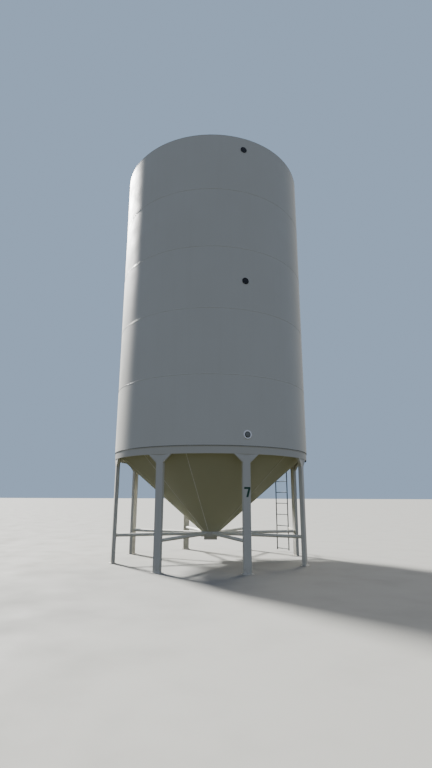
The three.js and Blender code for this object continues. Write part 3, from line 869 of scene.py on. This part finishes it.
outletRadius, outletTop = rolledCollar("outlet_ring", "outlet_collar", collars["outletSheet"])
outletPath = ringPath(outletRadius - beadUp, outletTop + beadUp, count=120)
weld("outlet_weld", [outletPath], collars["beadRadius"], closed=True)


# Slide gate: bevelled frame and plate, with bolts round the frame's rim where the collar leaves room
gate = {
    "frameEdge": 0.0018, "plateEdge": 0.0012,
    "boltPitch": 0.092, "boltHead": 0.006, "boltClear": 0.012, "rimInset": 0.012,
}
dress(copyOfNode("gate_frame", "gate_frame_pressed", gate["frameEdge"]), "gate_frame")
gatePlate = copyOfNode("gate_slide", "gate_slide_plate", gate["plateEdge"])
dress(gatePlate, "gate_slide", material=slidePlate, body="gate")
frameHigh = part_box("gate_frame")[1]
rim = frameHigh.x - gate["rimInset"]
gateBolts = []
for step in range(-2, 3):
    across = step * gate["boltPitch"]
    for x, y in ((across, -rim), (-rim, across), (rim, across)):
        if math.hypot(x, y) > outletRadius + gate["boltClear"]:
            gateBolts.append(((x, y, frameHigh.z), (0, 0, 1)))
bolts("gate_bolts", gateBolts, gate["boltHead"])
print("outlet and gate made")


# Fill collar, welded to the roof, its domed lid, and the roof hatch
lids = {"sheet": 0.004, "rimDrop": 0.040, "steps": 16, "neckEdge": 0.001, "hatchEdge": 0.0015}
fillRadius, fillTop = rolledCollar("fill_neck", "fill_collar", collars["fillSheet"])
fillPath = ringPath(fillRadius + beadUp, roofHeight(fillRadius) + beadUp, count=120)
weld("fill_weld", [fillPath], collars["beadRadius"], closed=True)


def domedLid(name, radius, seat, top):  # a spun dome with a rim that hangs over the collar
    sheet, rimBottom = lids["sheet"], seat - lids["rimDrop"]
    rimTop = seat + sheet
    angles = evenSteps(math.pi / 2, lids["steps"])
    outside = [(radius * math.cos(t), rimTop + (top - rimTop) * math.sin(t)) for t in angles]
    inside = [(max(0.0, r - sheet), height - sheet) for r, height in reversed(outside)]
    middle = [(0.0, top), (0.0, top - sheet)]
    profile = [(radius, rimBottom), *outside, *middle, *inside, (radius - sheet, rimBottom)]
    return turnedPiece(name, profile, steps=96)


dress(domedLid("fill_lid_dome", widestRadius("fill_lid"), fillTop, heightsOf("fill_lid")[1]), "fill_lid")
dress(copyOfNode("hatch_neck", "hatch_neck_ring", lids["neckEdge"]), "hatch_neck")
hatch = copyOfNode("hatch_lid", "hatch_lid_dome", lids["hatchEdge"])
rounding = hatch.modifiers.new("round", "SUBSURF")
rounding.levels = 2
rounding.render_levels = 2
dress(smooth(settle(hatch)), "hatch_lid")
print("lids made")


# Ladders: sections with splices at the joints, stood off the wall on flat brackets
ladder = {
    "azimuth": 129.8, "width": 0.420, "railDepth": 0.040, "railSheet": 0.008, "edgeRadius": 0.0012,
    "pitch": 0.305, "firstRung": 0.040, "rungCount": 12, "rungRadius": 0.011,
    "standOff": 0.190, "bracketInWall": 0.001,
    "brackets": ((2.420,), (4.100, 6.400), (8.000, 9.980)),  # heights on each section
    "spliceHalf": 0.090, "spliceSheet": 0.005, "spliceDepth": 0.75, "spliceRise": 0.3,
    "boltRises": (-0.7, -0.3, 0.15), "boltHead": 0.007,
}
railHalf = ladder["railDepth"] / 2


def ladderMesh(name, length, count, firstRung, width):
    return smooth(runTree(name, bpy.data.meshes.new(name), ladderSection, {
        "Width": width,
        "Length": length,
        "First Rung": firstRung,
        "Rung Pitch": ladder["pitch"],
        "Rung Count": count,
        "Rung Radius": ladder["rungRadius"],
        "Rail Depth": ladder["railDepth"],
        "Rail Sheet": ladder["railSheet"],
        "Finish": galvanised,
    }))


def railSpan(width, side, sheet):  # from a rail's inner face outwards, or inwards where the sheet is negative
    edge = side * width / 2
    return sorted((edge, edge + side * sheet))


def ladderFlats(name, work):
    piece = bevel(pieceFromBmesh(name, work), ladder["edgeRadius"])
    dress(smooth(piece), material=galvanised)


ladderTurn = turned(ladder["azimuth"])
rungLine = wallRadius + ladder["standOff"] + railHalf
bracketEnd = ladder["bracketInWall"] - wallRadius
flats = bmesh.new()
spliceBolts = []
for section in range(3):
    node = f"wall_ladder_{section + 1}"
    low, high = heightsOf(node)
    name, rungs = f"ladder_section_{section + 1}", ladder["rungCount"]
    piece = ladderMesh(name, high - low, rungs, ladder["firstRung"], ladder["width"])
    piece.data.transform(ladderTurn @ Matrix.Translation((0, -rungLine, low)))
    dress(piece, node, material=galvanised)
    for side in (-1, 1):
        left, right = railSpan(ladder["width"], side, ladder["railSheet"])
        for height in ladder["brackets"][section]:
            bottom, top = (left, -rungLine, height - railHalf), (right, bracketEnd, height + railHalf)
            addBlock(flats, bottom, top, ladderTurn)
        if section == 0:
            continue
        left, right = railSpan(ladder["width"], side, -ladder["spliceSheet"])
        reach, half = ladder["spliceHalf"], railHalf * ladder["spliceDepth"]
        top = (right, -rungLine + half, low + reach * ladder["spliceRise"])
        addBlock(flats, (left, -rungLine - half, low - reach), top, ladderTurn)
        face = side * (ladder["width"] / 2 + ladder["railSheet"])
        for rise in ladder["boltRises"]:
            place = fromAxis(ladder["azimuth"], face, rungLine, low + rise * reach)
            spliceBolts.append((place, sideways(ladder["azimuth"]) * side))
ladderFlats("ladder_brackets", flats)
bolts("ladder_bolts", spliceBolts, ladder["boltHead"])

roofLadder = {
    "lift": 0.070, "width": 0.380, "start": 2.280, "end": 0.420, "feet": (0.06, 0.5, 0.94), "footUp": 0.0005,
}
lift, start = roofLadder["lift"], roofLadder["start"]
roofLadderLength = (start - roofLadder["end"]) / math.cos(roofSlope)
roofRungs = int(roofLadderLength / ladder["pitch"])
firstAlong = (roofLadderLength - (roofRungs - 1) * ladder["pitch"]) / 2
upSlope = ladderTurn @ Matrix.Translation((0, -start, roofHeight(start))) @ Matrix.Rotation(roofSlope, 4, "X")
lay = Matrix.Translation((0, 0, lift + railHalf)) @ Matrix.Rotation(math.radians(-90), 4, "X")
rails = ladderMesh("roof_ladder_rails", roofLadderLength, roofRungs, firstAlong, roofLadder["width"])
rails.data.transform(upSlope @ lay)
dress(rails, "roof_ladder", material=galvanised)
flats = bmesh.new()
for side in (-1, 1):
    left, right = railSpan(roofLadder["width"], side, ladder["railSheet"])
    for share in roofLadder["feet"]:
        middle = share * roofLadderLength
        bottom = (left, middle - railHalf, roofLadder["footUp"])
        addBlock(flats, bottom, (right, middle + railHalf, lift + railHalf), upSlope)
ladderFlats("roof_ladder_feet", flats)
print("ladders made")


# Sight glasses: painted flange, rubber gasket, domed lens, and a ring of small bolts
glass = {
    "sides": 72, "flangeFront": 0.012, "flangeRound": 0.0025,
    "gasketWidth": 0.006, "gasketProud": 0.002, "gasketBack": 0.001, "gasketRound": 0.002,
    "lensBack": 0.002, "lensEdge": 0.010, "lensFront": 0.018, "lensSteps": 8,
    "lensShares": (0.61, 0.886, 0.886),  # of the flange's radius, from the lowest glass up
    "boltCount": 8, "boltHead": 0.0032,
}


def sightGlass(index):
    node = f"sight_glass_{index}"
    low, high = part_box(node)
    middle = (low + high) / 2
    azimuth = azimuthOf(node)
    flange = (high.z - low.z) / 2
    lens = flange * glass["lensShares"][index - 1]
    back = reachOf(node, azimuth)[0]
    place = facingOut(azimuth, fromAxis(azimuth, middle.dot(sideways(azimuth)), back, middle.z))
    front, gasket = glass["flangeFront"], glass["gasketWidth"]
    flangeOutline = ringOutline(flange, flange - lens - gasket, 0.0, front)
    gasketOutline = ringOutline(lens + gasket, 2 * gasket, glass["gasketBack"], front + glass["gasketProud"])
    angles = evenSteps(math.pi / 2, glass["lensSteps"])
    bulge = glass["lensFront"] - glass["lensEdge"]
    dome = [(lens * math.cos(t), glass["lensEdge"] + bulge * math.sin(t)) for t in angles]
    lensOutline = [(0.0, glass["lensBack"]), (lens, glass["lensBack"]), *dome, (0.0, glass["lensFront"])]
    lowest = index == 1  # only the lowest has a bright flange
    parts = {
        "flange": (rounded(flangeOutline, glass["flangeRound"]), brightRing if lowest else rubber),
        "gasket": (rounded(gasketOutline, glass["gasketRound"]), rubber),
        "lens": (lensOutline, dustyGlass if lowest else darkGlass, node),
    }
    for part, (outline, finish, *standsFor) in parts.items():
        piece = turnedPiece(f"glass_{index}_{part}", outline, glass["sides"])
        piece.data.transform(place)
        dress(piece, *standsFor, material=finish)
    boltCircle = (lens + gasket + flange) / 2
    halfPitch = math.pi / glass["boltCount"]  # half way from one bolt to the next
    angles = [angle + halfPitch for angle in evenSteps(math.tau, glass["boltCount"])]
    points = [place @ Vector((boltCircle * math.cos(t), boltCircle * math.sin(t), front)) for t in angles]
    return [(point, outward(azimuth)) for point in points]


glassBolts = [bolt for index in (1, 2, 3) for bolt in sightGlass(index)]
bolts("glass_bolts", glassBolts, glass["boltHead"])
print("sight glasses made")


# The bin's number on the front right leg: a cut vinyl figure
number = {
    "low": 1.468, "high": 1.670, "width": 0.136, "shift": 0.004, "stroke": 0.040, "thick": 0.0006,
    "foot": 0.38,  # how far left of the middle it stands, in half widths
    "barHeight": 0.8, "footWidth": 1.15, "barLeft": 1.25,  # in strokes
}


def numberSeven():
    leg = measureLeg("leg_1")
    half, stroke, low, high = number["width"] / 2, number["stroke"], number["low"], number["high"]
    foot, barLeft = -half * number["foot"], half - stroke * number["barLeft"]
    outline = [
        (-half, high), (half, high), (half, high - stroke * number["barHeight"]),
        (foot + stroke * number["footWidth"], low), (foot, low),
        (barLeft, high - stroke), (-half, high - stroke),
    ]
    work = bmesh.new()
    shifted = [(x + number["shift"], z) for x, z in outline]
    addPrism(work, shifted, leg["face"] - number["thick"], leg["face"] + number["thick"])
    work.transform(turned(leg["azimuth"]))
    dress(pieceFromBmesh("bin_number", work), material=greenVinyl)


numberSeven()


# A dark rubber plug in the head of the right leg
plug = {"azimuth": 69.6, "height": 2.300, "radius": 0.023, "reach": 0.028, "taper": 0.7}
plugRadius, plugReach, taper = plug["radius"], plug["reach"], plug["taper"]
headPlug = turnedPiece("head_plug", [
    (0.0, 0.0), (plugRadius, 0.0), (plugRadius, plugReach * taper), (plugRadius * taper, plugReach),
    (0.0, plugReach),
], steps=32)
plugPlace = onCircle(plug["azimuth"], skirtInner, plug["height"])
headPlug.data.transform(facingOut(plug["azimuth"], plugPlace))
dress(headPlug, material=rubber)


# Pale floor, camera, a low key light behind the left side, a weak fill behind the right side, and a plain sky
stage = {
    "floorHalf": 600.0,
    "lens": 21.21, "cameraPlace": (0.1364, -11.728, 1.46), "pitch": 14.08, "yaw": 0.08, "roll": 0.18,
    "clipEnd": 2000.0,
    "skyColour": "#beceed", "groundColour": "#82826b", "horizonHalf": 0.1, "ambientStrength": 0.5,
    "backdropColour": "#aac3e0", "backdropStrength": 0.8,
}
keyLight = {"azimuth": -140.0, "height": 36.5, "strength": 15.0, "angle": 8.0, "colour": "#fffdf9"}
fillLight = {"azimuth": 150.0, "height": 25.0, "strength": 3.4, "angle": 25.0, "colour": "#fbf3e4"}
floorWork = bmesh.new()
bmesh.ops.create_grid(floorWork, x_segments=4, y_segments=4, size=stage["floorHalf"])
floor = pieceFromBmesh("floor", floorWork)
floor.data.materials.append(floorFinish)
floor.visible_diffuse = False  # a pale floor's bounce would flood the shaded side
floor.visible_glossy = False

camera = newPiece("camera", bpy.data.cameras.new("camera"))
camera.data.lens = stage["lens"]
camera.data.sensor_width = 36.0
camera.data.clip_end = stage["clipEnd"]
camera.matrix_world = (
    Matrix.Translation(stage["cameraPlace"])
    @ turned(stage["yaw"])
    @ Matrix.Rotation(math.radians(90 + stage["pitch"]), 4, "X")
    @ turned(stage["roll"])
)
bpy.context.scene.camera = camera


def addSun(name, values):
    sun = newPiece(name, bpy.data.lights.new(name, "SUN"))
    sun.data.energy = values["strength"]
    sun.data.angle = math.radians(values["angle"])
    sun.data.color = toLinear(values["colour"])[:3]
    towards = outward(values["azimuth"]) + Vector((0, 0, math.tan(math.radians(values["height"]))))
    sun.rotation_euler = towards.to_track_quat("Z", "Y").to_euler()
    return sun


addSun("key", keyLight)
addSun("fill", fillLight).visible_glossy = False  # it has no highlight of its own

world = bpy.data.worlds.new("studio")
world.use_nodes = True
add = partial(addNode, world.node_tree)
direction = add("ShaderNodeTexCoord").outputs["Generated"]
rise = add("ShaderNodeSeparateXYZ", {0: direction}).outputs["Z"]
horizon = stage["horizonHalf"]
above = add("ShaderNodeMapRange", {0: rise, 1: -horizon, 2: horizon})
shades = {0: above, 6: toLinear(stage["groundColour"]), 7: toLinear(stage["skyColour"])}
light = add("ShaderNodeMix", shades, data_type="RGBA")
ambient = add("ShaderNodeBackground", {"Color": light, "Strength": stage["ambientStrength"]})
flat = {"Color": toLinear(stage["backdropColour"]), "Strength": stage["backdropStrength"]}
backdrop = add("ShaderNodeBackground", flat)
seen = add("ShaderNodeLightPath").outputs["Is Camera Ray"]
both = add("ShaderNodeMixShader", {0: seen, 1: ambient, 2: backdrop})
setInputs(world.node_tree.nodes["World Output"], {"Surface": both})
bpy.context.scene.world = world
print("stage made")
